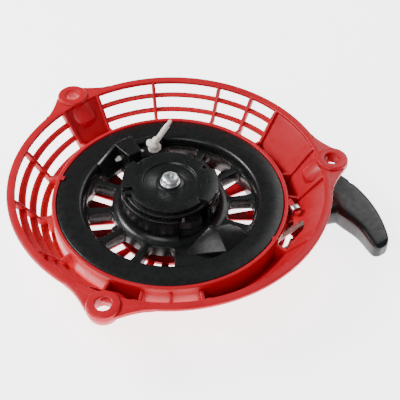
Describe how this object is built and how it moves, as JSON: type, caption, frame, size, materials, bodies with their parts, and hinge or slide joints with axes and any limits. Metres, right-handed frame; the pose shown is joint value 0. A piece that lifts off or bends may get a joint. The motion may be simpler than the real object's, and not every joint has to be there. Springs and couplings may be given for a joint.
{
  "type": "recoil starter",
  "caption": "Pull-rope recoil starter: louvred red cover with bolt ears, black rope reel with ratchets and guide, spiral spring, rope and T grip.",
  "frame": {"origin": "on the reel's axis, at the cover's flat outer face", "axes": "+Z along the reel's axis towards the engine side, one bolt ear on +Y, and the rope leaves within 2 degrees of +X"},
  "size_m": [0.19, 0.2083, 0.0395],
  "materials": {
    "red_plastic": "moulded, satin gloss",
    "black_plastic": "moulded, fine grain",
    "grip_plastic": "moulded, matt",
    "steel": "bright formed steel",
    "spring_steel": "oiled spring steel",
    "zinc": "bright zinc plate",
    "rope": "braided off-white cord"
  },
  "bodies": {
    "cover": {"housing": "red_plastic", "rope_eyelet": "steel", "rope_guide_clip": "steel", "centre_bush": "steel", "setting_screw": "zinc", "washer": "zinc", "rope_run": "rope"},
    "reel": {"reel": "black_plastic", "rope_windings": "rope", "rope_knot": "rope", "rope_tail": "rope", "recoil_spring": "spring_steel", "ratchet_spring_1": "spring_steel", "ratchet_spring_2": "spring_steel"},
    "guide": {"ratchet_guide": "black_plastic", "friction_spring": "spring_steel"},
    "ratchet_1": {"ratchet_1": "steel"},
    "ratchet_2": {"ratchet_2": "steel"},
    "handle": {"grip": "grip_plastic", "grip_knot": "rope", "rope_end": "rope"}
  },
  "joints": [
    {"name": "reel_spin", "type": "hinge", "parent": "cover", "child": "reel", "pos_m": [0, 0, 0.0125], "axis": [0, 0, 1], "range_deg": [0, 1062], "stiffness_Nm_per_rad": 0.03, "springref_deg": -458.37, "deforming": ["recoil_spring", "rope_windings"]},
    {"name": "handle_pull", "type": "slide", "parent": "cover", "child": "handle", "axis": [0.9994, 0.0349, 0], "range_m": [0, 1.09], "deforming": ["rope_run"]},
    {"name": "guide_lag", "type": "hinge", "parent": "reel", "child": "guide", "pos_m": [0, 0, 0.0334], "axis": [0, 0, -1], "range_deg": [0, 32], "stiffness_Nm_per_rad": 0.004, "springref_deg": -34.38},
    {"name": "ratchet_1_swing", "type": "hinge", "parent": "reel", "child": "ratchet_1", "pos_m": [0.01338, 0.01204, 0.0205], "axis": [0, 0, -1], "range_deg": [0, 24]},
    {"name": "ratchet_2_swing", "type": "hinge", "parent": "reel", "child": "ratchet_2", "pos_m": [-0.01338, -0.01204, 0.0205], "axis": [0, 0, -1], "range_deg": [0, 24]}
  ],
  "couplings": [
    {"joint": "handle_pull", "follows": "reel_spin", "m_per_rad": 0.0587},
    {"joint": "ratchet_1_swing", "follows": "guide_lag", "ratio": 0.75},
    {"joint": "ratchet_2_swing", "follows": "guide_lag", "ratio": 0.75}
  ]
}
